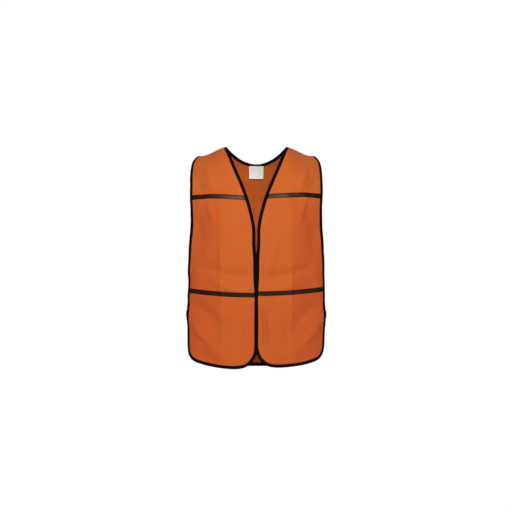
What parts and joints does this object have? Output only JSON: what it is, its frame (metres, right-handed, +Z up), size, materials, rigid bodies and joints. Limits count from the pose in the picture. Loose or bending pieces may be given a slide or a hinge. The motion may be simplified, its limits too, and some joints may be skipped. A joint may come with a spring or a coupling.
{
  "type": "safety vest",
  "caption": "Blaze orange mesh vest with black bound edges, open sides joined by elastic straps, flat tapes at chest and waist, and a hook-and-loop front closure.",
  "frame": {"origin": "on the centre line between the two shoulder seams, level with their neck ends, where the wearer's shoulders carry the vest", "axes": "+X to the wearer's left, -Y to the front, +Z up"},
  "size_m": [0.381, 0.238, 0.6039],
  "materials": {
    "orange_mesh": "fluorescent polyester knitted mesh",
    "black_binding": "woven polyester binding tape",
    "grey_tape": "flat woven charcoal tape",
    "black_elastic": "ribbed knitted elastic",
    "black_hook_and_loop": "hook and loop tape",
    "black_thread": "sewn thread",
    "white_label": "satin label without print"
  },
  "bodies": {
    "back": {"back_panel": "orange_mesh", "back_outer_binding": "black_binding", "back_neck_binding": "black_binding", "back_chest_tape": "grey_tape", "back_waist_tape": "grey_tape", "care_label": "white_label", "left_shoulder_seam": "orange_mesh", "right_shoulder_seam": "orange_mesh", "left_side_elastic": "black_elastic", "right_side_elastic": "black_elastic", "left_elastic_back_bartack": "black_thread", "right_elastic_back_bartack": "black_thread"},
    "right_front": {"right_front_panel": "orange_mesh", "right_front_binding": "black_binding", "right_front_chest_tape": "grey_tape", "right_front_waist_tape": "grey_tape", "right_front_hook_tape": "black_hook_and_loop", "right_elastic_front_bartack": "black_thread"},
    "left_front": {"left_front_panel": "orange_mesh", "left_front_binding": "black_binding", "left_front_chest_tape": "grey_tape", "left_front_waist_tape": "grey_tape", "left_front_loop_tape": "black_hook_and_loop", "left_elastic_front_bartack": "black_thread"}
  },
  "joints": [
    {"name": "right_front_swing", "type": "hinge", "parent": "back", "child": "right_front", "pos_m": [-0.187, -0.068, 0], "axis": [0, 0, -1], "range_deg": [0, 65], "deforming": ["right_side_elastic", "right_front_binding", "right_front_hook_tape"]},
    {"name": "left_front_swing", "type": "hinge", "parent": "back", "child": "left_front", "pos_m": [0.187, -0.068, 0], "axis": [0, 0, 1], "range_deg": [0, 65], "deforming": ["left_side_elastic", "left_front_binding"]}
  ]
}
